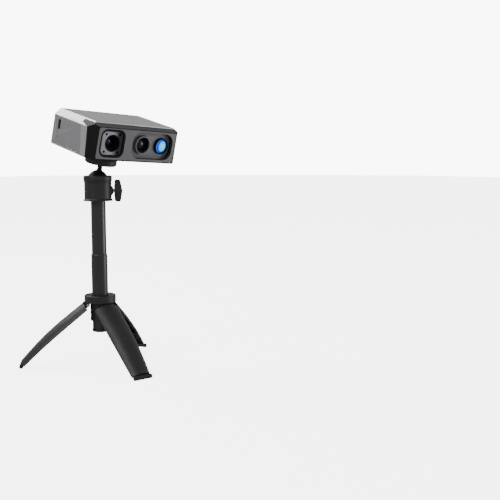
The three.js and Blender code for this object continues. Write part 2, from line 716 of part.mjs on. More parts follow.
function opticalBench() {
  // an upright plate with a bore for each barrel, and feet that are screwed to the shell's floor
  const wall = box(-48.5, 48.5, 13, 15.5, 3.6, 27);
  const foot = box(-48.5, 48.5, 13, 25.5, 3.6, 5.2);
  const around = box(MOUNT.x - 7, MOUNT.x + 7, 17.5, 30, 1, 8);
  const holes = BENCH_SCREWS.map(([x, y]) => rod(1.5, 3, 7, 12).translate(x, y, 0));
  return cut(
    join(wall, foot), around, ...holes,
    bore(CAMERA_X, AXIS_Z, 6.55, 10, 18), bore(DEPTH_X, AXIS_Z, 6.55, 10, 18),
    bore(PROJECTOR_X, AXIS_Z, 6.85, 10, 18),
  );
}

const benchScrew = ([x, y]) => revolve([
  [0, 1.7], [1, 1.7], [1, 5.5], [2.2, 5.5], [2.2, 6.4], [1.7, 6.9], [0, 6.9],
], 12).translate(x, y, 0);

const cameraBoard = () => join(
  box(CAMERA_X - 12, CAMERA_X + 12, 19.9, 21.4, 7.6, 26.6),
  box(CAMERA_X - 5, CAMERA_X + 5, 21.2, 23.4, 12, 20), box(CAMERA_X + 6, CAMERA_X + 10, 21.2, 22.6, 10, 22),
);

const depthBoard = () => join(
  box(DEPTH_X - 10, DEPTH_X + 10, 19.9, 21.4, 7.6, 26.6),
  box(DEPTH_X - 4.5, DEPTH_X + 4.5, 21.2, 23.4, 12, 20), box(DEPTH_X - 9, DEPTH_X - 6, 21.2, 22.6, 10, 22),
);

const projectorEngine = () => box(PROJECTOR_X - 9, PROJECTOR_X + 9, 22, 34, 7.6, 25);

function heatSink() {
  const base = box(PROJECTOR_X - 9, PROJECTOR_X + 9, 34.3, 36.3, 7.6, 25);
  const fins = Array.from({ length: 6 }, (_, i) => {
    const x = PROJECTOR_X - 9 + i * 3.36;
    return box(x, x + 1.2, 36, 46, 7.6, 25);
  });
  return join(base, ...fins);
}

const mainBoard = () => join(
  box(-46, 46, 56, 57.6, 4, 28),
  box(-14, 2, 54.2, 56.2, 9, 25), box(10, 20, 54.6, 56.2, 12, 22), box(-34, -26, 53.2, 56.2, 8, 12),
);

function usbSocket() {
  // the metal mouth behind the port, with its tongue
  const shape = (inset) => roundedRect(PORT.y, PORT.z, 1.6 - inset, 4.5 - inset, 1.55 - inset);
  const shell = sideSlab(shape(0), -BODY_HALF + 1, -BODY_HALF + 8.4);
  const mouth = sideSlab(shape(0.35), -BODY_HALF, -BODY_HALF + 7.4);
  const [y0, y1] = [PORT.y - 0.35, PORT.y + 0.35];
  const [z0, z1] = [PORT.z - 3.2, PORT.z + 3.2];
  const tongue = box(-BODY_HALF + 2.4, -BODY_HALF + 7.8, y0, y1, z0, z1);
  return join(cut(shell, mouth), tongue);
}

const lightPipe = () => rod(0.42, -BODY_HALF + 0.4, -BODY_HALF + 6, 12).rotateY(Math.PI / 2)
  .translate(0, STATUS.y, STATUS.z);

const mountBoss = () => ring(12.6, 3.5, -GAP - BOSS_THICK, -GAP).translate(MOUNT.x, MOUNT.y, 0);
const threadInsert = () => ring(5.2, 3.4, WALL + GAP, 6.6).translate(MOUNT.x, MOUNT.y, 0);

// ---------------------------------------------------------------- assembly

function tripodBase() {
  const pins = LEG_AZIMUTHS.map((azimuth, i) => named(`hinge_pin_${i + 1}`, join(
    pinAt(PIN_R, -6, 6.2),
    pinAt(1.3, 5.9, 6.5),
  ).rotateZ(azimuth * DEG), looks.steel));
  return group(
    named('leg_hub', legHub(), looks.plastic),
    named('lower_tube', lowerTube(), looks.blackMetal),
    named('stub_sleeve', stubSleeve(), looks.plastic),
    named('bottom_cap', bottomCap(), looks.plastic),
    ...pins,
  );
}

function legs() {
  const shell = leg();
  const pad = footPad();
  return group(...LEG_AZIMUTHS.flatMap((azimuth, i) => [
    named(`leg_${i + 1}`, placeLeg(shell, azimuth), looks.plastic),
    named(`foot_pad_${i + 1}`, placeLeg(pad, azimuth), looks.rubber),
  ]));
}

function pole() {
  return group(
    named('upper_tube', upperTube(), looks.blackMetal),
    named('slide_plug', slidePlug(), looks.plastic),
    named('clamp_housing', clampHousing(), looks.plastic),
    named('ball_seat', ballSeat(), looks.plastic),
    named('clamp_shoe', clampShoe(), looks.steel),
    named('knob_screw', knobScrew(), looks.steel),
    named('wing_knob', wingKnob(), looks.plastic),
  );
}

function scanner() {
  const casing = group(
    named('rear_shell', rearShell(), looks.silver),
    named('left_end_panel', endPanel(-1), looks.panel),
    named('right_end_panel', endPanel(1), looks.panel),
    named('front_frame', frontFrame(), looks.frame),
    named('front_plate', frontPlate(), looks.face),
    named('mount_boss', mountBoss(), looks.plastic),
  );
  const optics = group(
    named('window_bezel', windowBezel(), looks.black),
    named('lamp_plate', lampPlate(), looks.lampPlate),
    named('camera_barrel', cameraBarrel(), looks.black),
    named('camera_lens', cameraLens(), looks.glass),
    named('recess_tray', recessTray(), looks.face),
    named('depth_lens_ring', depthRing(), looks.face),
    named('depth_barrel', depthBarrel(), looks.black),
    named('depth_lens', depthLens(), looks.glass),
    named('projector_hood', projectorHood(), looks.black),
    named('projector_lens', projectorLens(), looks.blueGlass),
    named('projector_barrel', projectorBarrel(), looks.black),
  );
  const inside = group(
    named('optical_bench', opticalBench(), looks.aluminium),
    named('camera_board', cameraBoard(), looks.board),
    named('depth_board', depthBoard(), looks.board),
    named('projector_engine', projectorEngine(), looks.aluminium),
    named('heat_sink', heatSink(), looks.aluminium),
    named('main_board', mainBoard(), looks.board),
    named('usb_socket', usbSocket(), looks.steel),
    named('light_pipe', lightPipe(), looks.lampPlate),
    named('thread_insert', threadInsert(), looks.brass),
    ...BENCH_SCREWS.map((place, i) => named(`bench_screw_${i + 1}`, benchScrew(place), looks.steel)),
  );
  const result = group(casing, optics, inside);
  result.position.set(-MOUNT.x, -MOUNT.y, SCANNER_ABOVE_BALL);
  return result;
}

function head() {
  const result = group(
    named('ball_stud', ballStud(), looks.steel),
    named('platform', platform(), looks.plastic),
    named('platform_pad', platformPad(), looks.rubber),
    named('mount_stud', mountStud(), looks.steel),
    scanner(),
  );
  result.position.z = BALL_Z;
  result.rotation.set(NOD * DEG, ROLL * DEG, 0);
  return result;
}

const model = group(tripodBase(), legs(), pole(), head());
model.updateMatrixWorld(true);
const extent = new THREE.Box3().setFromObject(model, true);
const middle = extent.getCenter(new THREE.Vector3());
model.position.set(-middle.x, -middle.y, -extent.min.z);

export default model;
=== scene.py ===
"""A pocket 3D scanner on its folding mini tripod: the visible pieces and their materials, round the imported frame.

Shapes are drawn in millimetres in the frame of the part they belong to, and placed in metres.
"""

import json
import math

import bmesh
import bpy
from mathutils import Matrix, Vector

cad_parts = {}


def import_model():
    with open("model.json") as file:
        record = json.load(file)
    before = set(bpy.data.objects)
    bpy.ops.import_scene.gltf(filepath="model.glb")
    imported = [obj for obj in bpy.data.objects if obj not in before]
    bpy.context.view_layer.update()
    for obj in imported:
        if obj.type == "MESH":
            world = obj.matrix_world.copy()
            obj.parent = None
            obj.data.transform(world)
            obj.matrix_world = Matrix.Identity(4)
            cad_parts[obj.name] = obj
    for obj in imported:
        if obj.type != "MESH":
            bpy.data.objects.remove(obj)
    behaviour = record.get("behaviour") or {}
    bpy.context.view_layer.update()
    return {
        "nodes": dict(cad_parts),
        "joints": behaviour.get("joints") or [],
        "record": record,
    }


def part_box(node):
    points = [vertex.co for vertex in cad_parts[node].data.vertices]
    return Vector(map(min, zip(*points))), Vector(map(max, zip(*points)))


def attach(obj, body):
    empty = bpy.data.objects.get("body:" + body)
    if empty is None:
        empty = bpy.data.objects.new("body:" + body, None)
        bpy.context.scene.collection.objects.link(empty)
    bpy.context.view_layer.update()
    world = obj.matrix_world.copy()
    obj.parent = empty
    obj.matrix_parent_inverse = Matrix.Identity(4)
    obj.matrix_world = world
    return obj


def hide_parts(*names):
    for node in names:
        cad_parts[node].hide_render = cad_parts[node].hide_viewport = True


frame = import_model()

# ---------------------------------------------------------------- sizes

MM = 0.001
ROUND = 96  # sides of a large round piece
SMALL_ROUND = 48  # sides of a small round piece
GAP = 0.3  # room between neighbouring pieces

LEG_LENGTH = 85.6
LEG_START = 2.3
LEG_CHORD = -2.7
LEG_CAMBER = 1.2  # how far the leg bows outwards
LEG_WALL = 1.9
LEG_SPREAD = math.radians(48.5)
LUG_HALF = 3.2
LUG_R = 1.75
FOOT_R = 2.1
FOOT_N = -0.6
PIN_HOLE_R = 1.1
HINGE_R = 11.8
HINGE_Z = 59.2

RING_R = 15.1
RING_BOTTOM = 61.3
RING_TOP = 68.5
LOWER_TUBE_R = 7.75
LOWER_TUBE_WALL = 0.4
LOWER_TUBE_BOTTOM = 35.3
LOWER_TUBE_TOP = 108
UPPER_TUBE_R = 7.05
UPPER_TUBE_WALL = 0.6
UPPER_TUBE_BOTTOM = 92
STUB_R = 9.6
STUB_BOTTOM = 43.3
CAP_BOTTOM = 32.4
CAP_TOP = 35

BALL_Z = 179
BALL_R = 10
SOCKET_R = 10.35
HOUSING_BOTTOM = 159.3
HOUSING_TOP = 183.6
HOUSING_R = 12.85
KNOB_Z = 169
KNOB_HALF = 10.5
STEM_R = 2.4
PLATFORM_R = 15.1
PLATFORM_BOTTOM = 16.05
PLATFORM_TOP = 22.25

BODY_HALF = 52.1
BODY_DEPTH = 64.6
BODY_HEIGHT = 34.2
CHAMFER_X = 6.45
CHAMFER_Z = 6
SHOULDER_Z = BODY_HEIGHT - CHAMFER_Z
BOTTOM_ROUND = 1.6
BACK_ROUND = 1.6
WALL = 2
MOUNT_X, MOUNT_Y, MOUNT_Z = -16.4, 29.9, -25.95
BOSS_THICK = 1.8
JOINT_Y = 6.3
JOINT_SLOPE = 0.122
BEAK_Y = 21.5
BEAK_LOW = 30.6
LIP_Z = 32.9
SEAM = 0.12  # the visible seams are finer than the working gaps
FRAME_RIM = 0.45
LIP_Y = 5.94
FACE_HALF = 45.7
FACE_TOP = 30.6
FACE_BOTTOM = 0.9
AXIS_Z = 16
CAMERA_X = -28.4
DEPTH_X = 8.1
PROJECTOR_X = 31.2
PORT_Y, PORT_Z, PORT_HALF, PORT_R = 53.9, 20.4, 4.9, 1.95
STATUS_Y, STATUS_Z, STATUS_R = 54.4, 9, 0.75
RECESS_FLOOR = 5

# ---------------------------------------------------------------- frames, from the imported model

joints = {joint["name"]: joint for joint in frame["joints"]}


def middle(node):
    low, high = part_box(node)
    return (Vector(low) + Vector(high)) / 2


pole = middle("lower_tube")
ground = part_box("lower_tube")[0][2] - LOWER_TUBE_BOTTOM * MM
TRIPOD = Matrix.Translation((pole.x, pole.y, ground))
stud_axis = joints["scanner_turn"]["axis"]
roll = math.asin(stud_axis[0])
nod = math.atan2(-stud_axis[1], stud_axis[2])
BALL = TRIPOD @ Matrix.Translation((0, 0, BALL_Z * MM))
HEAD = BALL @ Matrix.Rotation(nod, 4, "X") @ Matrix.Rotation(roll, 4, "Y")
SCANNER = HEAD @ Matrix.Translation(Vector((-MOUNT_X, -MOUNT_Y, -MOUNT_Z)) * MM)
knob_axis = joints["knob_turn"]["axis"]
KNOB = TRIPOD @ Matrix.Translation((0, 0, KNOB_Z * MM)) @ Matrix.Rotation(
    math.atan2(knob_axis[1], knob_axis[0]), 4, "Z"
)


def leg_azimuth(number):
    axis = joints[f"leg_{number}_fold"]["axis"]
    return math.atan2(-axis[0], axis[1])


def leg_frame(number):
    """x runs down the leg, y outwards and z across it, from the hinge."""
    sine, cosine = math.sin(LEG_SPREAD), math.cos(LEG_SPREAD)
    turn = Matrix(((sine, cosine, 0), (0, 0, -1), (-cosine, sine, 0))).to_4x4()
    hinge = Matrix.Translation(Vector((HINGE_R, 0, HINGE_Z)) * MM)
    return TRIPOD @ Matrix.Rotation(leg_azimuth(number), 4, "Z") @ hinge @ turn


# ---------------------------------------------------------------- shapes


def mesh_object(name, points, faces):
    mesh = bpy.data.meshes.new(name)
    mesh.from_pydata([tuple(p) for p in points], [], faces)
    work = bmesh.new()
    work.from_mesh(mesh)
    bmesh.ops.remove_doubles(work, verts=work.verts, dist=1e-5)
    bmesh.ops.recalc_face_normals(work, faces=work.faces)
    work.to_mesh(mesh)
    work.free()
    obj = bpy.data.objects.new(name, mesh)
    bpy.context.scene.collection.objects.link(obj)
    return obj


def soften(outline, radius, closed=True, steps=5):
    """Rounds an outline's corners. A corner may carry its own radius as a third value."""
    count = len(outline)
    result = []
    for i, corner in enumerate(outline):
        here = Vector(corner[:2])
        if not closed and i in (0, count - 1):
            result.append(tuple(here))
            continue
        before = Vector(outline[i - 1][:2]) - here
        after = Vector(outline[(i + 1) % count][:2]) - here
        reach = corner[2] if len(corner) > 2 else radius
        angle = before.angle(after)
        if reach <= 0 or angle > math.radians(176):
            result.append(tuple(here))
            continue
        tangent = min(reach / math.tan(angle / 2), 0.48 * before.length, 0.48 * after.length)
        reach = tangent * math.tan(angle / 2)
        bisector = (before.normalized() + after.normalized()).normalized()
        centre = here + bisector * reach / math.sin(angle / 2)
        start = here + before.normalized() * tangent - centre
        end = here + after.normalized() * tangent - centre
        sweep = start.angle_signed(end)
        for k in range(steps + 1):
            turned = Matrix.Rotation(-sweep * k / steps, 2) @ start
            result.append(tuple(centre + turned))
    return result


def lathe(name, profile, sides=ROUND):
    """Turns (radius, height) pairs about Z. The profile closes on itself or ends on the axis."""
    closed = tuple(profile[0]) == tuple(profile[-1])
    stations = profile[:-1] if closed else profile
    points, rows = [], []
    for radius, height in stations:
        turns = 1 if radius < 1e-6 else sides
        rows.append([len(points) + i for i in range(turns)])
        for i in range(turns):
            angle = 2 * math.pi * i / sides
            points.append((radius * math.cos(angle), radius * math.sin(angle), height))
    faces = []
    for low, high in zip(rows, rows[1:] + rows[:1] if closed else rows[1:]):
        for i in range(sides):
            j = (i + 1) % sides
            loop = [low[i % len(low)], low[j % len(low)], high[j % len(high)], high[i % len(high)]]
            loop = list(dict.fromkeys(loop))
            if len(loop) > 2:
                faces.append(loop)
    return mesh_object(name, points, faces)


def turned(name, profile, radius=0.3, sides=ROUND):
    """A lathe piece with rounded corners. A profile that starts off the axis closes on itself."""
    if profile[0][0] < 1e-6:
        return lathe(name, soften(profile, radius, closed=False), sides)
    outline = soften(profile, radius)
    return lathe(name, outline + outline[:1], sides)


PLANES = {
    "xz": lambda u, v, w: (u, w, v),
    "yz": lambda u, v, w: (w, u, v),
    "xy": lambda u, v, w: (u, v, w),
}


def prism(name, outline, low, high, plane="xz"):
    """An outline drawn in one plane and drawn out along the third axis."""
    to_space = PLANES[plane]
    count = len(outline)
    points = [to_space(u, v, w) for w in (low, high) for u, v in outline]
    faces = [list(range(count)), list(range(count, 2 * count))]
    faces += [[i, (i + 1) % count, (i + 1) % count + count, i + count] for i in range(count)]
    return mesh_object(name, points, faces)


def loft(name, rings):
    count = len(rings[0])
    points = [point for ring in rings for point in ring]
    faces = [list(range(count)), list(range(len(points) - count, len(points)))]
    for layer in range(len(rings) - 1):
        for i in range(count):
            a, b = layer * count + i, layer * count + (i + 1) % count
            faces.append([a, b, b + count, a + count])
    return mesh_object(name, points, faces)


def block(name, x0, x1, y0, y1, z0, z1):
    return prism(name, [(x0, z0), (x1, z0), (x1, z1), (x0, z1)], y0, y1)


def round_rect(x, z, half_x, half_z, radius, steps=12):
    left, right, low, high = x - half_x, x + half_x, z - half_z, z + half_z
    return soften([(left, low), (right, low), (right, high), (left, high)], radius, steps=steps)


def rod(name, radius, low, high, sides=SMALL_ROUND):
    return lathe(name, [(0, low), (radius, low), (radius, high), (0, high)], sides)


def turn_to_y(obj, x=0, z=0):
    """Stands a lathe piece along Y, the way the lenses look."""
    obj.data.transform(Matrix.Translation((x, 0, z)) @ Matrix.Rotation(-math.pi / 2, 4, "X"))
    return obj


def turn_to_x(obj, y=0, z=0):
    obj.data.transform(Matrix.Translation((0, y, z)) @ Matrix.Rotation(math.pi / 2, 4, "Y"))
    return obj


def settle(obj):
    """Gives the object its mesh as its modifiers make it."""
    graph = bpy.context.evaluated_depsgraph_get()
    made = bpy.data.meshes.new_from_object(obj.evaluated_get(graph))
    old = obj.data
    obj.modifiers.clear()
    obj.data = made
    bpy.data.meshes.remove(old)
    return obj


def combine(obj, tools, operation):
    for tool in tools:
        modifier = obj.modifiers.new("combine", "BOOLEAN")
        modifier.operation = operation
        modifier.solver = "EXACT"
        modifier.object = tool
        settle(obj)
        bpy.data.meshes.remove(tool.data)
    return obj


def cut(obj, *tools):
    return combine(obj, tools, "DIFFERENCE")


def join(obj, *tools):
    return combine(obj, tools, "UNION")


def meet(obj, *tools):
    return combine(obj, tools, "INTERSECT")


def round_edges(obj, width, segments=3, angle=32):
    """Rounds every edge sharper than the angle, after flat neighbours are merged."""
    work = bmesh.new()
    work.from_mesh(obj.data)
    bmesh.ops.remove_doubles(work, verts=work.verts, dist=2e-3)
    bmesh.ops.dissolve_limit(
        work, angle_limit=math.radians(0.6), verts=work.verts, edges=work.edges, use_dissolve_boundaries=False
    )
    work.to_mesh(obj.data)
    work.free()
    modifier = obj.modifiers.new("rounding", "BEVEL")
    modifier.width = width
    modifier.segments = segments
    modifier.limit_method = "ANGLE"
    modifier.angle_limit = math.radians(angle)
    modifier.use_clamp_overlap = False
    modifier.miter_outer = "MITER_ARC"
    return settle(obj)


def moved(obj, x=0, y=0, z=0):
    obj.data.transform(Matrix.Translation((x, y, z)))
    return obj


# ---------------------------------------------------------------- materials


def nodes_of(name):
    material = bpy.data.materials.new(name)
    material.use_nodes = True
    tree = material.node_tree
    return material, tree, tree.nodes["Principled BSDF"]


def noise(tree, scale, detail, coordinates):
    node = tree.nodes.new("ShaderNodeTexNoise")
    node.inputs["Scale"].default_value = scale
    node.inputs["Detail"].default_value = detail
    tree.links.new(coordinates, node.inputs["Vector"])
    return node.outputs["Fac"]


def spread(tree, source, low, high, start=0.3, end=0.7):
    """Maps a 0 to 1 value onto another range."""
    node = tree.nodes.new("ShaderNodeMapRange")
    node.inputs["From Min"].default_value = start
    node.inputs["From Max"].default_value = end
    node.inputs["To Min"].default_value = low
    node.inputs["To Max"].default_value = high
    tree.links.new(source, node.inputs["Value"])
    return node.outputs["Result"]


def tint(tree, factor, dark, light):
    node = tree.nodes.new("ShaderNodeMix")
    node.data_type = "RGBA"
    node.inputs[6].default_value = (*dark, 1)
    node.inputs[7].default_value = (*light, 1)
    tree.links.new(factor, node.inputs["Factor"])
    return node.outputs[2]


def finish_material(
    name, colour, roughness, metallic=0.0, grain=3000, bump=0.02, mottle=0.08, edge_lightening=0.0, specular=0.5, stretch=None
):
    """A moulded, painted or blasted surface: grain as bump, slow variation in colour and gloss, convex edges made
    lighter.
    """
    material, tree, shader = nodes_of(name)
    place = tree.nodes.new("ShaderNodeTexCoord").outputs["Object"]
    if stretch:
        mapping = tree.nodes.new("ShaderNodeMapping")
        mapping.inputs["Scale"].default_value = stretch
        tree.links.new(place, mapping.inputs["Vector"])
        place = mapping.outputs["Vector"]
    slow = noise(tree, 90, 3, place)
    fine = noise(tree, grain, 4, place)
    factor = spread(tree, slow, 0, 1)
    dark = [c * (1 - mottle) for c in colour]
    light = [min(1, c * (1 + mottle)) for c in colour]
    shade = tint(tree, factor, dark, light)
    # Convex edges, found by pointiness, are made lighter in colour.
    if edge_lightening:
        edges = tree.nodes.new("ShaderNodeNewGeometry").outputs["Pointiness"]
        lightened_edges = spread(tree, edges, 0, edge_lightening, 0.505, 0.56)
        mix = tree.nodes.new("ShaderNodeMix")
        mix.data_type = "RGBA"
        mix.inputs[7].default_value = (*[min(1, c * 2.2 + 0.03) for c in colour], 1)
        tree.links.new(lightened_edges, mix.inputs["Factor"])
        tree.links.new(shade, mix.inputs[6])
        shade = mix.outputs[2]
    tree.links.new(shade, shader.inputs["Base Color"])
    gloss = spread(tree, fine, roughness * 0.88, min(1, roughness * 1.12))
    tree.links.new(gloss, shader.inputs["Roughness"])
    shader.inputs["Metallic"].default_value = metallic
    shader.inputs["Specular IOR Level"].default_value = specular
    relief = tree.nodes.new("ShaderNodeBump")
    relief.inputs["Strength"].default_value = 1.0
    relief.inputs["Distance"].default_value = bump * MM
    tree.links.new(fine, relief.inputs["Height"])
    tree.links.new(relief.outputs["Normal"], shader.inputs["Normal"])
    return material


def axis_of(tree, name):
    place = tree.nodes.new("ShaderNodeTexCoord").outputs["Object"]
    split = tree.nodes.new("ShaderNodeSeparateXYZ")
    tree.links.new(place, split.inputs["Vector"])
    return split.outputs[name]


def painted_shade_lamp_plate_material():
    """Satin metal, plain on the outer side of the camera, with painted shade: the inner side is mixed to near
    black.
    """
    material = finish_material("satin_plate", (0.24, 0.24, 0.26), 0.42, 0.75, grain=2500, bump=0.006)
    tree = material.node_tree
    shader = tree.nodes["Principled BSDF"]
    light = shader.inputs["Base Color"].links[0].from_socket
    across = axis_of(tree, "X")
    edge = (CAMERA_X + 1.6) * MM
    factor = spread(tree, across, 0, 1, edge - 1.8 * MM, edge + 4.4 * MM)
    mix = tree.nodes.new("ShaderNodeMix")
    mix.data_type = "RGBA"
    # Painted shade: the near-black colour laid over the plate's inner side.
    mix.inputs[7].default_value = (0.012, 0.011, 0.016, 1)
    tree.links.new(factor, mix.inputs["Factor"])
    tree.links.new(light, mix.inputs[6])
    tree.links.new(mix.outputs[2], shader.inputs["Base Color"])
    return material


def glass_material(name, colour, sheen_colour):
    """Coated glass over a dark barrel."""
    material, tree, shader = nodes_of(name)
    facing = tree.nodes.new("ShaderNodeLayerWeight")
    facing.inputs["Blend"].default_value = 0.35
    shade = tint(tree, facing.outputs["Facing"], colour, sheen_colour)
    tree.links.new(shade, shader.inputs["Base Color"])
    shader.inputs["Roughness"].default_value = 0.16
    shader.inputs["Coat Weight"].default_value = 0.15
    shader.inputs["Coat Roughness"].default_value = 0.05
    shader.inputs["Specular IOR Level"].default_value = 0.3
    return material


def projector_material():
    """The projector's lens lit from inside: a bright cyan disc with a deep blue crescent beside it."""
    material, tree, shader = nodes_of("blue_glass")
    place = tree.nodes.new("ShaderNodeTexCoord").outputs["Object"]
    centre = tree.nodes.new("ShaderNodeVectorMath")
    centre.operation = "DISTANCE"
    centre.inputs[1].default_value = ((PROJECTOR_X + 2.3) * MM, 0.003, (AXIS_Z - 0.2) * MM)
    tree.links.new(place, centre.inputs[0])
    ramp = tree.nodes.new("ShaderNodeValToRGB")
    stops = [
        (0.0, (0.02, 0.62, 0.95)), (0.5, (0.01, 0.45, 0.95)), (0.6, (0.004, 0.10, 0.8)),
        (0.68, (0.002, 0.012, 0.3)), (0.82, (0.01, 0.08, 0.55)), (1.0, (0.001, 0.004, 0.03)),
    ]
    for spot, shade in stops[1:-1]:
        ramp.color_ramp.elements.new(spot)
    for element, (spot, shade) in zip(ramp.color_ramp.elements, stops):
        element.position = spot
        element.color = (*shade, 1)
    reach = spread(tree, centre.outputs["Value"], 0, 1, 0, 9.0 * MM)
    tree.links.new(reach, ramp.inputs["Fac"])
    tree.links.new(ramp.outputs["Color"], shader.inputs["Base Color"])
    tree.links.new(ramp.outputs["Color"], shader.inputs["Emission Color"])
    shader.inputs["Emission Strength"].default_value = 1.3
    shader.inputs["Roughness"].default_value = 0.2
    shader.inputs["Coat Weight"].default_value = 0.2
    shader.inputs["Coat Roughness"].default_value = 0.1
    shader.inputs["Specular IOR Level"].default_value = 0.3
    return material


MATERIALS = {
    "silver_shell": finish_material(
        "silver_shell", (0.40, 0.40, 0.415), 0.44, 0.75, grain=4200, bump=0.012, mottle=0.03, edge_lightening=0.25
    ),
    "grey_panel": finish_material(
        "grey_panel", (0.235, 0.235, 0.245), 0.5, 0.55, grain=4200, bump=0.012, mottle=0.03, edge_lightening=0.2
    ),
    "gloss_black": finish_material(
        "gloss_black", (0.006, 0.006, 0.007), 0.5, grain=2600, bump=0.004, specular=0.16
    ),
    # soft_black serves as the front frame's painted highlight, a lighter black on its upward-facing strip.
    "soft_black": finish_material("soft_black", (0.05, 0.05, 0.053), 0.5, grain=2600, bump=0.004, specular=0.4),
    "grey_face": finish_material(
        "grey_face", (0.118, 0.115, 0.126), 0.5, 0.2, grain=3600, bump=0.01, mottle=0.04, edge_lightening=0.25
    ),
    # black_inset is painted shade on the walls of the front openings and of the recess tray, and the real black of
    # the socket's tongue.
    "black_inset": finish_material(
        "black_inset", (0.004, 0.004, 0.005), 0.5, grain=3000, bump=0.006, specular=0.12
    ),
    "satin_plate": painted_shade_lamp_plate_material(),
    "dark_glass": glass_material("dark_glass", (0.002, 0.002, 0.004), (0.05, 0.03, 0.11)),
    "blue_glass": projector_material(),
    "clear_plastic": finish_material(
        "clear_plastic", (0.006, 0.006, 0.007), 0.4, grain=1500, bump=0.002, specular=0.15
    ),
    "black_plastic": finish_material(
        "black_plastic", (0.014, 0.014, 0.015), 0.44, grain=1800, bump=0.03, mottle=0.12, edge_lightening=0.15, specular=0.4
    ),
    "black_rubber": finish_material("black_rubber", (0.012, 0.012, 0.012), 0.8, grain=1200, bump=0.05, mottle=0.2),
    "black_tube": finish_material(
        "black_tube", (0.026, 0.026, 0.028), 0.33, 0.3, grain=3500, bump=0.006, edge_lightening=0.2
    ),
    "steel": finish_material(
        "steel", (0.42, 0.42, 0.43), 0.28, 1.0, grain=900, bump=0.006, stretch=(1, 1, 14)
    ),
    "bare_aluminium": finish_material(
        "bare_aluminium", (0.55, 0.56, 0.57), 0.36, 1.0, grain=700, bump=0.008, stretch=(1, 12, 12)
    ),
    "brass_insert": finish_material("brass_insert", (0.52, 0.36, 0.12), 0.3, 1.0, grain=1200, bump=0.006),
    "circuit_board": finish_material("circuit_board", (0.015, 0.10, 0.035), 0.4, grain=500, bump=0.02, mottle=0.3),
}

# ---------------------------------------------------------------- placing a finished piece

SLOTS = {entry["node"]: entry["material_slot"] for entry in frame["record"]["subparts"]}
BODIES = {node: body for body, nodes in frame["record"]["behaviour"]["bodies"].items() for node in nodes}


def finished(obj, place, node, look=None, second=None, angle=34, own_axes=False):
    """Puts a piece in its place, on the body of the CAD node that it stands for.

    A piece with its own axes keeps its drawing frame, which its material measures in.
    """
    obj.name = f"{node}_detail"
    obj.data.transform(Matrix.Scale(MM, 4))
    if own_axes:
        obj.matrix_world = place
    else:
        obj.data.transform(place)
    obj.data.materials.append(look or MATERIALS[SLOTS[node]])
    if second:
        obj.data.materials.append(second)
    obj.data.shade_smooth()
    obj.data.set_sharp_from_angle(angle=math.radians(angle))
    weights = obj.modifiers.new("normals", "WEIGHTED_NORMAL")
    weights.keep_sharp = True
    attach(obj, BODIES[node])
    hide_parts(node)
    return obj


def paint(obj, chosen):
    """Gives the chosen faces the piece's second material."""
    for polygon in obj.data.polygons:
        polygon.material_index = 1 if chosen(polygon) else 0
    return obj


# ---------------------------------------------------------------- tripod base


def hub():
    bored = LOWER_TUBE_R + GAP
    body = turned("hub", [
        (bored, RING_BOTTOM, 0.1), (RING_R, RING_BOTTOM, 0.5), (RING_R, RING_TOP, 0.9),
        (RING_R - 1.5, RING_TOP, 0.3), (RING_R - 3.1, RING_TOP - 0.75, 0.5), (bored, RING_TOP - 0.75, 0.3),
    ])
    for number in (1, 2, 3):
        turn = Matrix.Rotation(leg_azimuth(number), 4, "Z")
        for start in (LUG_HALF + 0.4, -LUG_HALF - 2.4):
            outline = [(HINGE_R - 1.9, RING_BOTTOM + 1), (HINGE_R - 1.9, HINGE_Z - 1.9, 1.9)]
            outline += [(HINGE_R + 1.9, HINGE_Z - 1.9, 1.9), (HINGE_R + 1.9, RING_BOTTOM + 1)]
            ear = prism("ear", soften(outline, 0, steps=10), start, start + 2)
            ear.data.transform(turn)
            join(body, ear)
        hole = turn_to_y(rod("hole", PIN_HOLE_R, -7, 7), HINGE_R, HINGE_Z)
        hole.data.transform(turn)
        cut(body, hole)
    return finished(round_edges(body, 0.18, 2), TRIPOD, "leg_hub")


def lower_tube():
    inner = LOWER_TUBE_R - LOWER_TUBE_WALL
    low, top = CAP_TOP + GAP, LOWER_TUBE_TOP
    body = turned("tube", [
        (inner, low), (LOWER_TUBE_R, low), (LOWER_TUBE_R, top - 0.8), (LOWER_TUBE_R - 0.25, top), (inner, top),
    ], 0.15)
    return finished(body, TRIPOD, "lower_tube")


def upper_tube():
    inner = UPPER_TUBE_R - UPPER_TUBE_WALL
    top = HOUSING_BOTTOM + 3
    body = turned("tube", [
        (inner, UPPER_TUBE_BOTTOM), (UPPER_TUBE_R, UPPER_TUBE_BOTTOM), (UPPER_TUBE_R, top), (inner, top),
    ], 0.15)
    return finished(body, TRIPOD, "upper_tube")


def stub_sleeve():
    inner = LOWER_TUBE_R + GAP
    top = RING_BOTTOM - GAP
    profile = [(inner, STUB_BOTTOM, 0.2), (STUB_R, STUB_BOTTOM, 0.9)]
    for height in (STUB_BOTTOM + 3, STUB_BOTTOM + 4.6):
        profile += [
            (STUB_R, height, 0.12), (STUB_R - 0.3, height + 0.25, 0.1),
            (STUB_R - 0.3, height + 0.55, 0.1), (STUB_R, height + 0.8, 0.12),
        ]
    profile += [(STUB_R, top, 0.3), (inner, top, 0.2)]
    return finished(turned("sleeve", profile), TRIPOD, "stub_sleeve")


def bottom_cap():
    plug = LOWER_TUBE_R - LOWER_TUBE_WALL - GAP
    flange = LOWER_TUBE_R + 0.3
    body = turned("cap", [
        (0, CAP_BOTTOM), (flange - 2.6, CAP_BOTTOM, 0.2), (flange, CAP_BOTTOM, 1.5), (flange, CAP_TOP, 0.25),
        (plug, CAP_TOP, 0.1), (plug, CAP_TOP + 1.3, 0.3), (0, CAP_TOP + 1.3),
    ])
    return finished(body, TRIPOD, "bottom_cap")


# ---------------------------------------------------------------- legs


def leg_half(s):
    return 13.1 - 3.4 * (s / LEG_LENGTH) ** 2.6


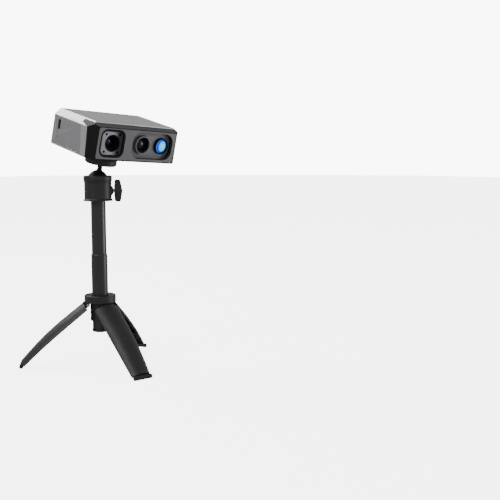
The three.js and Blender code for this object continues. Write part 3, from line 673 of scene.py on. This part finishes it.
def leg_chord(s):
    share = min(max(s, 0) / LEG_LENGTH, 1) ** 1.3
    return LEG_CHORD + LEG_CAMBER * math.sin(math.pi * share)


def leg_rise(s):
    taper = (max(0, s / LEG_LENGTH - 0.35) / 0.65) ** 1.3
    return 7.1 + 0.8 * math.sin(math.pi * min(s / 80, 1)) - 1.5 * taper


def leg_ring(s, inset, steps=22):
    """A half-moon section: an arc over the chord on the leg's open side."""
    half = leg_half(s) - inset
    rise = leg_rise(s) - inset
    radius = (half ** 2 + rise ** 2) / (2 * rise)
    centre = leg_chord(s) + rise - radius
    reach = math.asin(min(1, half / radius))
    ring = []
    for i in range(steps + 1):
        angle = reach * (1 - 2 * i / steps)
        ring.append((s, centre + radius * math.cos(angle), radius * math.sin(angle)))
    if inset:
        return [(s, leg_chord(s) - 3, -half), (s, leg_chord(s) - 3, half)] + ring
    return ring


def leg(number):
    end = LEG_LENGTH - FOOT_R - GAP
    stations = [LEG_START + (end - LEG_START) * i / 30 for i in range(31)]
    body = loft("leg", [leg_ring(s, 0) for s in stations])
    hollow = [LEG_START - 2] + [s for s in stations[1:] if s < end - 3.5] + [end - 2.5]
    braces = prism("spine", [(LEG_START, -0.8), (74, -1), (74, 6), (LEG_START, 6)], -0.7, 0.7, "xy")
    for s in (24, 42, 60):
        join(braces, prism("rib", [(s, -1.4), (s + 1.3, -1.4), (s + 1.3, 7), (s, 7)], -14, 14, "xy"))
    meet(braces, loft("inside", [leg_ring(s, 0.4) for s in stations]))
    cut(body, loft("hollow", [leg_ring(s, LEG_WALL) for s in hollow]))
    join(body, braces)
    lug = [(9, -LUG_R), (9, LEG_CHORD + leg_rise(9) - 0.6)]
    lug += [(LEG_START, LEG_CHORD + leg_rise(LEG_START) - 0.2), (-0.5, LUG_R + 0.1)]
    for i in range(13):
        angle = math.radians(105 + 165 * i / 12)
        lug.append((LUG_R * math.cos(angle), LUG_R * math.sin(angle)))
    join(body, prism("lug", lug, -LUG_HALF, LUG_HALF, "xy"))
    cut(body, rod("hole", PIN_HOLE_R, -8, 8))
    round_edges(body, 0.35, 3, 38)
    return finished(body, leg_frame(number), f"leg_{number}")


def foot_pad(number):
    half = leg_half(LEG_LENGTH) - 0.2
    profile = [(0, -half), (FOOT_R, -half, 0.9)]
    for k in range(-3, 4):
        place = k * 2.0
        profile += [
            (FOOT_R, place - 0.4, 0.1), (FOOT_R - 0.18, place - 0.2, 0.1),
            (FOOT_R - 0.18, place + 0.2, 0.1), (FOOT_R, place + 0.4, 0.1),
        ]
    profile += [(FOOT_R, half, 0.9), (0, half)]
    body = turned("pad", profile, sides=64)
    ground_cut = block("ground", -9, 9, -8, -FOOT_R + 0.15, -11, 11)
    ground_cut.data.transform(Matrix.Rotation(math.pi / 2 - LEG_SPREAD, 4, "Z"))
    cut(body, ground_cut)
    return finished(moved(body, LEG_LENGTH, FOOT_N), leg_frame(number), f"foot_pad_{number}")


# ---------------------------------------------------------------- ball head


def arc(radius, start, end, steps, centre=0):
    """(radius, height) pairs on a circle round a point on the axis, in degrees up from its equator."""
    angles = [math.radians(start + (end - start) * i / steps) for i in range(steps + 1)]
    return [(radius * math.cos(a), centre + radius * math.sin(a)) for a in angles]


def clamp_housing():
    rim_angle = math.degrees(math.asin((HOUSING_TOP - BALL_Z) / SOCKET_R))
    rim = SOCKET_R * math.cos(math.radians(rim_angle))
    tube_r = UPPER_TUBE_R + GAP
    outer = soften([
        (tube_r, HOUSING_BOTTOM), (14, HOUSING_BOTTOM, 0.3), (13.9, HOUSING_BOTTOM + 0.8, 0.3),
        (HOUSING_R, HOUSING_BOTTOM + 2.2, 1.5), (HOUSING_R, 176.5, 2.5), (13.5, 179.6, 2),
        (13.5, HOUSING_TOP, 1.3), (rim + 0.7, HOUSING_TOP, 0.3), (rim, HOUSING_TOP - 0.5),
    ], 0.3, closed=False)
    inner = arc(SOCKET_R, rim_angle - 3.2, 0, 16, BALL_Z)
    tail = [(SOCKET_R, 165), (3, 165), (3, 163.2), (tube_r, 163.2), (tube_r, HOUSING_BOTTOM)]
    body = lathe("housing", outer + inner + tail)
    to_knob = TRIPOD.inverted() @ KNOB
    to_knob.translation = (0, 0, KNOB_Z)
    boss = turned("boss", [
        (0, 11.6), (5.4, 11.6), (4.9, 12.9, 0.8), (2.9, 14.4, 0.5), (2.6, 14.8, 0.2), (0, 14.8),
    ])
    turn_to_x(boss)
    boss.data.transform(to_knob)
    cut(boss, rod("socket", SOCKET_R + 0.4, 150, 200, ROUND))
    join(body, boss)
    hole = turn_to_x(rod("hole", 1.85, 9, 18))
    hole.data.transform(to_knob)
    return finished(cut(body, hole), TRIPOD, "clamp_housing")


def wing_knob():
    inside = [(15.3, -4, 3), (15.7, -8.5, 3), (16.1, -KNOB_HALF, 1.2)]
    outside = [(21.2, -KNOB_HALF, 1.2), (21.9, -8, 3), (23.2, 0, 6), (21.6, 8, 3), (20.8, KNOB_HALF, 1.2)]
    top = [(16.1, KNOB_HALF, 1.2), (15.7, 8.5, 3), (15.3, 4, 3)]
    body = prism("knob", soften(inside + outside + top, 1, steps=8), -5, 5)
    plan = [
        (-2.6, -11), (2.6, -11), (3.4, -6.5, 4), (4.6, 0, 4), (3.4, 6.5, 4), (2.6, 11), (-2.6, 11), (-3.4, 6.5, 4),
        (-4.6, 0, 4), (-3.4, -6.5, 4),
    ]
    meet(body, prism("face", soften(plan, 0, steps=8), 15, 24, "yz"))
    round_edges(body, 0.8, 5, 30)
    cut(body, turn_to_x(rod("blind", 1.85, 15, 20.4)))
    return finished(body, KNOB, "wing_knob", angle=50)


def ball_stud():
    neck = 74
    profile = arc(BALL_R, -90, neck, 60)
    profile[0] = (0, -BALL_R)
    foot_r, foot_z = profile[-1]
    for i in range(1, 9):
        share = i / 8
        profile.append((
            STEM_R + (foot_r - STEM_R) * (1 - share) ** 2, foot_z + (12.2 - foot_z) * share,
        ))
    profile += [(STEM_R, PLATFORM_BOTTOM + 2), (0, PLATFORM_BOTTOM + 2)]
    return finished(lathe("ball", profile), HEAD, "ball_stud", look=MATERIALS["gloss_black"])


def platform():
    low, top = PLATFORM_BOTTOM, PLATFORM_TOP
    body = turned("platform", [
        (0, low), (PLATFORM_R - 4, low, 0.4), (PLATFORM_R - 3.6, low + 0.3, 0.4),
        (PLATFORM_R - 0.5, low + 0.3, 0.7), (PLATFORM_R, low + 1.4, 0.4), (PLATFORM_R, top, 0.6), (0, top),
    ])
    cut(body, rod("stem", STEM_R + GAP, low - 1, low + 2.4), rod("stud", 3.4, low + 3.2, top + 1))
    return finished(body, HEAD, "platform")


def platform_pad():
    low = PLATFORM_TOP + GAP
    profile = [(3.5, low, 0.1), (PLATFORM_R - 0.5, low, 0.15), (PLATFORM_R - 0.5, low + 1, 0.3)]
    for k in range(5):
        place = PLATFORM_R - 2.2 - k * 2.1
        profile += [
            (place + 0.3, low + 1, 0.08), (place + 0.15, low + 0.8, 0.08),
            (place - 0.15, low + 0.8, 0.08), (place - 0.3, low + 1, 0.08),
        ]
    profile += [(3.5, low + 1, 0.2)]
    return finished(turned("pad", profile), HEAD, "platform_pad")


def mount_stud():
    low, top = PLATFORM_BOTTOM + 3.5, -MOUNT_Z + 5.6
    profile = [(0, low), (3.05, low)]
    pitch = 1.27
    height = low + 3
    while height + pitch < top - 0.4:
        profile += [(3.05, height), (2.55, height + pitch * 0.45), (3.05, height + pitch * 0.9)]
        height += pitch
    profile += [(2.95, top - 0.5), (2.5, top), (0, top)]
    return finished(lathe("stud", profile, SMALL_ROUND), HEAD, "mount_stud")


# ---------------------------------------------------------------- scanner casing


def joint_at(z):
    return JOINT_Y + JOINT_SLOPE * z


def body_outline(inset=0.0):
    half, low = BODY_HALF - inset, inset
    shoulder = SHOULDER_Z - inset * 0.35
    top_x, top = BODY_HALF - CHAMFER_X - inset * 0.35, BODY_HEIGHT - inset
    bottom_round = max(BOTTOM_ROUND - inset, 0.6)
    return soften([
        (-half, low, bottom_round), (half, low, bottom_round), (half, shoulder, 0.9), (top_x, top, 0.9),
        (-top_x, top, 0.9), (-half, shoulder, 0.9),
    ], 0.6, steps=8)


def back_plan():
    half = BODY_HALF + 0.02
    return soften([
        (-half, -2, 0), (half, -2, 0), (half, BODY_DEPTH, BACK_ROUND), (-half, BODY_DEPTH, BACK_ROUND),
    ], 0, steps=10)


def panel_outline(grow):
    def front(z):
        return 13.9 + 0.226 * z - grow

    back = BODY_DEPTH - BACK_ROUND - 0.5 + grow
    low, top = BOTTOM_ROUND + 0.5 - grow, SHOULDER_Z - 0.6 + grow
    return soften([
        (front(low), low, 0.8), (back, low, 1.6), (back, top, 0.8), (front(top), top, 3.0),
    ], 0.8, steps=6)


def port_tool():
    outline = round_rect(PORT_Y, PORT_Z, PORT_R, PORT_HALF, PORT_R)
    return prism("port", outline, -BODY_HALF - 1, -BODY_HALF + 5, "yz")


def status_tool():
    return turn_to_x(rod("status", STATUS_R, -60, -45), STATUS_Y, STATUS_Z)


def front_tool():
    """Everything in front of the shell's leaning edge, with the step under its lip."""
    return prism("front", [
        (-5, -5), (joint_at(-5), -5), (joint_at(SHOULDER_Z), SHOULDER_Z), (BEAK_Y, BEAK_LOW), (BEAK_Y, LIP_Z),
        (LIP_Y, LIP_Z), (LIP_Y, 40), (-5, 40),
    ], -BODY_HALF - 2, BODY_HALF + 2, "yz")


BENCH_SCREWS = [(-46, 22), (-2, 22), (20.5, 22), (46, 22)]


def rear_shell():
    body = prism("shell", body_outline(), 0, BODY_DEPTH)
    meet(body, prism("plan", back_plan(), -1, BODY_HEIGHT + 1, "xy"))
    cut(body, prism("cavity", body_outline(WALL), -3, BODY_DEPTH - WALL), front_tool())
    for x0, x1 in ((-BODY_HALF - 1, -BODY_HALF + 1.2), (BODY_HALF - 1.2, BODY_HALF + 1)):
        cut(body, prism("recess", panel_outline(SEAM), x0, x1, "yz"))
    cut(body, port_tool(), status_tool(), moved(rod("mount", 3.5, -1, 4), MOUNT_X, MOUNT_Y))
    for x, y in BENCH_SCREWS:
        join(body, moved(rod("post", 2.6, 1, 3.2), x, y))
        cut(body, moved(rod("screw", 1.4, 1.2, 5), x, y))
    round_edges(body, 0.22, 3, 34)
    return finished(body, SCANNER, "rear_shell")


def end_panel(side):
    outer, inner = side * BODY_HALF, side * (BODY_HALF - 0.9)
    body = prism("panel", panel_outline(0), min(outer, inner), max(outer, inner), "yz")
    if side < 0:
        cut(body, port_tool(), status_tool())
    round_edges(body, 0.18, 3, 34)
    return finished(body, SCANNER, "left_end_panel" if side < 0 else "right_end_panel")


def frame_plan():
    """The front frame's limits: flat in the middle, falling back to the joint at each end."""
    rings = []
    for z in (-1, 35):
        ends = BODY_HALF + 0.1
        rings.append([
            (-FACE_HALF, 0, z), (FACE_HALF, 0, z), (ends, joint_at(z), z), (ends, 30, z), (-ends, 30, z),
            (-ends, joint_at(z), z),
        ])
    return loft("plan", rings)


def face_rect(inset):
    """The front plate's outline, inside a thin rim of the frame."""
    rim = FRAME_RIM + inset
    low, top = FACE_BOTTOM + inset, FACE_TOP - rim
    return round_rect(0, (low + top) / 2, FACE_HALF - rim, (top - low) / 2, 2)


def front_frame():
    def low_line(z):
        return joint_at(z) - SEAM

    slope = (BEAK_LOW - SHOULDER_Z) / (BEAK_Y - joint_at(SHOULDER_Z))
    knee = SHOULDER_Z + SEAM
    beak = SHOULDER_Z + SEAM + slope * (BEAK_Y - SEAM - joint_at(SHOULDER_Z))
    under = LIP_Z - SEAM
    region = prism("region", [
        (-1, -1), (low_line(-1), -1), (low_line(knee), knee), (BEAK_Y - SEAM, beak), (BEAK_Y - SEAM, under),
        (-1, under),
    ], -60, 60, "yz")
    body = meet(prism("rim", body_outline(), -1, 40), region)
    join(body, prism("tongue", body_outline(WALL + GAP), 0.5, 12))
    meet(body, frame_plan())
    hood = [(0, -1), (30, -1), (30, under), (LIP_Y - SEAM, under), (0, FACE_TOP)]
    meet(body, prism("hood", hood, -60, 60, "yz"))
    cut(
        body,
        prism("seat", face_rect(0), -2, 2.3),
        prism("opening", round_rect(0, 15.55, 43.4, 13.35, 2), -2, 40),
    )
    round_edges(body, 0.2, 3, 30)
    # Painted highlight: the upward-facing strip in front of the lip gets soft_black, a lighter black than the
    # frame, for the light it catches from above.
    paint(body, lambda face: face.normal.z > 0.85 and face.center.y < LIP_Y and face.center.z > FACE_TOP)
    return finished(body, SCANNER, "front_frame", second=MATERIALS["soft_black"])


def front_plate():
    body = prism("plate", face_rect(SEAM), 0, 2)
    cut(
        body,
        prism("window", round_rect(-28.7, 15.95, 13.6, 12.9, 7), -1, 3),
        prism("recess", round_rect(17.8, 15.8, 23.8, 12.6, 9), -1, 3),
    )
    round_edges(body, 0.3, 4, 34)
    # Painted shade: the walls of the window and of the recess opening get black_inset, for the shade inside the
    # openings.
    paint(body, lambda face: abs(face.normal.y) < 0.3 and abs(face.center.x) < 43.5 and 2 < face.center.z < 29.5)
    return finished(body, SCANNER, "front_plate", second=MATERIALS["black_inset"])


def window_bezel():
    body = prism("bezel", round_rect(-28.7, 15.95, 13.3, 12.6, 6.7), 0.2, 4.5)
    cut(
        body,
        prism("pocket", round_rect(-28.7, 15.95, 11.8, 11.1, 5.2), -1, 2.7),
        turn_to_y(rod("bore", 8.4, 1, 6, ROUND), CAMERA_X, AXIS_Z),
    )
    round_edges(body, 0.35, 4, 34)
    return finished(body, SCANNER, "window_bezel")


def lamp_plate():
    body = prism("plate", round_rect(-28.7, 15.95, 11.5, 10.8, 4.9), 1, 2.3)
    cut(body, turn_to_y(rod("bore", 7.9, 0, 4, ROUND), CAMERA_X, AXIS_Z))
    for x in (-7.7, 7.3):
        for z in (-8.2, 8.2):
            cut(body, turn_to_y(rod("lamp", 1.1, 0, 4), CAMERA_X + x, AXIS_Z + z))
    round_edges(body, 0.22, 3, 34)
    return finished(body, SCANNER, "lamp_plate", own_axes=True)


# ---------------------------------------------------------------- cameras and projector


def barrel(node, x, profile, radius=0.15):
    body = turn_to_y(turned("barrel", profile, radius), x, AXIS_Z)
    return finished(body, SCANNER, node)


def camera_barrel():
    steps = [(5.2, 7), (5.2, 6.4), (5.9, 6.4), (5.9, 5.4), (6.6, 5.4), (6.6, 4.2), (7.3, 4.2), (7.3, 2.8)]
    return barrel("camera_barrel", CAMERA_X, steps + [
        (8, 2.8), (8, 9), (6.2, 9), (6.2, 19.5), (3, 19.5), (3, 12), (5.2, 12),
    ])


def depth_barrel():
    steps = [(5.6, 6), (5.6, 5.2), (6.2, 5.2), (6.2, 4.2), (6.7, 4.2), (6.7, 3)]
    return barrel("depth_barrel", DEPTH_X, steps + [
        (7.2, 3), (7.2, 9), (6.2, 9), (6.2, 19.5), (3, 19.5), (3, 11), (5.6, 11),
    ])


def depth_ring():
    return barrel("depth_lens_ring", DEPTH_X, [
        (7.5, 2.8), (7.9, 1.7, 0.3), (8.7, 1.9, 0.4), (8.7, 8.5), (7.5, 8.5),
    ])


def projector_hood():
    return barrel("projector_hood", PROJECTOR_X, [
        (6.9, 3.4), (7.0, 2.5, 0.2), (7.6, 2.5, 0.3), (7.6, 8.5), (6.9, 8.5),
    ])


def dome(node, x, radius, front, edge, back):
    """A convex front over a straight edge and a flat back."""
    rise = edge - front
    curve = (radius ** 2 + rise ** 2) / (2 * rise)
    reach = math.asin(radius / curve)
    profile = []
    for i in range(19):
        angle = reach * i / 18
        profile.append((curve * math.sin(angle), front + curve * (1 - math.cos(angle))))
    profile += [(radius, back), (0, back)]
    lens = turn_to_y(lathe("lens", profile), x, AXIS_Z)
    return finished(lens, SCANNER, node, own_axes=node == "projector_lens")


def recess_tray():
    body = prism("tray", round_rect(17.75, 15.55, 25.25, 13.05, 9.8), 2.3, RECESS_FLOOR + 1.5)
    cut(
        body,
        prism("pocket", round_rect(17.8, 15.8, 23.8, 12.5, 9), 1, RECESS_FLOOR),
        turn_to_y(rod("depth", 9.05, 1, 9, ROUND), DEPTH_X, AXIS_Z),
        turn_to_y(rod("projector", 7.95, 1, 9, ROUND), PROJECTOR_X, AXIS_Z),
    )
    round_edges(body, 0.2, 3, 34)
    # Painted shade: the tray's side walls get black_inset, for the shade in the recess.
    paint(body, lambda face: abs(face.normal.y) < 0.3)
    return finished(body, SCANNER, "recess_tray", second=MATERIALS["black_inset"])


def mount_boss():
    body = turned("boss", [
        (3.5, -GAP - BOSS_THICK, 0.2), (12.6, -GAP - BOSS_THICK, 0.5), (12.6, -GAP, 0.1), (3.5, -GAP, 0.1),
    ])
    return finished(moved(body, MOUNT_X, MOUNT_Y), SCANNER, "mount_boss")


def usb_socket():
    """The metal mouth behind the port, with its tongue."""
    back = -BODY_HALF + 8.4
    body = prism("mouth", round_rect(PORT_Y, PORT_Z, 1.6, 4.5, 1.55), -BODY_HALF + 1, back, "yz")
    cut(body, prism("hollow", round_rect(PORT_Y, PORT_Z, 1.25, 4.15, 1.2), -BODY_HALF, back - 1, "yz"))
    y0, y1, z0, z1 = PORT_Y - 0.35, PORT_Y + 0.35, PORT_Z - 3.2, PORT_Z + 3.2
    join(body, block("tongue", -BODY_HALF + 2.4, back - 0.6, y0, y1, z0, z1))
    round_edges(body, 0.08, 2, 40)
    paint(body, lambda face: abs(face.center.z - PORT_Z) < 3.3 and abs(face.center.y - PORT_Y) < 0.4)
    return finished(body, SCANNER, "usb_socket", look=MATERIALS["clear_plastic"], second=MATERIALS["black_inset"])


# ---------------------------------------------------------------- build

hub()
lower_tube()
upper_tube()
stub_sleeve()
bottom_cap()
for leg_number in (1, 2, 3):
    leg(leg_number)
    foot_pad(leg_number)
clamp_housing()
wing_knob()
ball_stud()
platform()
platform_pad()
mount_stud()
rear_shell()
end_panel(-1)
end_panel(1)
front_frame()
front_plate()
window_bezel()
lamp_plate()
camera_barrel()
dome("camera_lens", CAMERA_X, 4.9, 6.6, 8.4, 11)
depth_ring()
depth_barrel()
dome("depth_lens", DEPTH_X, 5.3, 5, 7, 10)
projector_hood()
dome("projector_lens", PROJECTOR_X, 6.55, 3, 5, 7)
recess_tray()
mount_boss()
usb_socket()


def dress_frame():
    """The CAD nodes that stay get their material and softened edges."""
    for name, node in frame["nodes"].items():
        if node.hide_render:
            continue
        node.data.materials.clear()
        node.data.materials.append(MATERIALS[SLOTS[name]])
        edges = node.modifiers.new("rounding", "BEVEL")
        edges.width = 0.12 * MM
        edges.segments = 2
        edges.limit_method = "ANGLE"
        edges.angle_limit = math.radians(40)
        node.modifiers.new("normals", "WEIGHTED_NORMAL")


dress_frame()

# ---------------------------------------------------------------- stage, light and camera


def studio_material(name, colour, glow):
    material = finish_material(name, colour, 0.7, grain=60, bump=0.0, mottle=0.01)
    shader = material.node_tree.nodes["Principled BSDF"]
    shader.inputs["Emission Color"].default_value = (1, 1, 1, 1)
    shader.inputs["Emission Strength"].default_value = glow
    return material


def set_stage(obj, material):
    """The stage is seen by the camera alone, so that it throws no light back on the object."""
    obj.data.materials.append(material)
    obj.visible_diffuse = False
    obj.visible_glossy = False
    obj.visible_transmission = False


def floor():
    obj = mesh_object("floor", [(-6, -6, 0), (6, -6, 0), (6, 6, 0), (-6, 6, 0)], [[0, 1, 2, 3]])
    set_stage(obj, studio_material("floor", (0.75, 0.75, 0.76), 5))


def backdrop():
    obj = lathe("backdrop", arc(7, -10, 90, 24), SMALL_ROUND)
    obj.visible_shadow = False
    set_stage(obj, studio_material("backdrop", (0, 0, 0), 9))


def area_light(name, place, target, width, height, power):
    data = bpy.data.lights.new(name, "AREA")
    data.shape = "RECTANGLE"
    data.size = width
    data.size_y = height
    data.energy = power
    light = bpy.data.objects.new(name, data)
    bpy.context.scene.collection.objects.link(light)
    light.location = place
    light.rotation_mode = "QUATERNION"
    light.rotation_quaternion = (Vector(target) - Vector(place)).to_track_quat("-Z", "Y")


def world():
    scene_world = bpy.data.worlds.new("studio")
    bpy.context.scene.world = scene_world
    scene_world.use_nodes = True
    background = scene_world.node_tree.nodes["Background"]
    background.inputs["Color"].default_value = (1, 1, 1, 1)
    background.inputs["Strength"].default_value = 0.45


def camera():
    data = bpy.data.cameras.new("camera")
    data.sensor_width = 36
    data.lens = 59.7
    data.clip_start = 0.01
    data.clip_end = 50
    obj = bpy.data.objects.new("camera", data)
    bpy.context.scene.collection.objects.link(obj)
    obj.location = TRIPOD @ (Vector((-460.5, -663.5, 204.9)) * MM)
    heading = Vector((0.7088, 0.7054, 0)).normalized()
    down = math.radians(6.68)
    look = heading * math.cos(down) - Vector((0, 0, math.sin(down)))
    obj.rotation_mode = "QUATERNION"
    obj.rotation_quaternion = look.to_track_quat("-Z", "Y")
    bpy.context.scene.camera = obj


world()
floor()
backdrop()
centre = Vector(middle("clamp_housing"))
area_light("key", (-0.15, 0.95, 1.1), centre, 0.6, 0.6, 13)
area_light("side", (-1.0, -0.1, 0.8), centre, 0.7, 0.7, 7)
area_light("front", (0.9, -0.95, 0.3), centre, 0.7, 0.7, 2)
area_light("low", (0.62, -0.5, 0.06), centre, 0.22, 0.1, 1.1)
area_light("fill", (-0.4, -1.3, 0.6), centre, 1.0, 0.8, 2)
camera()
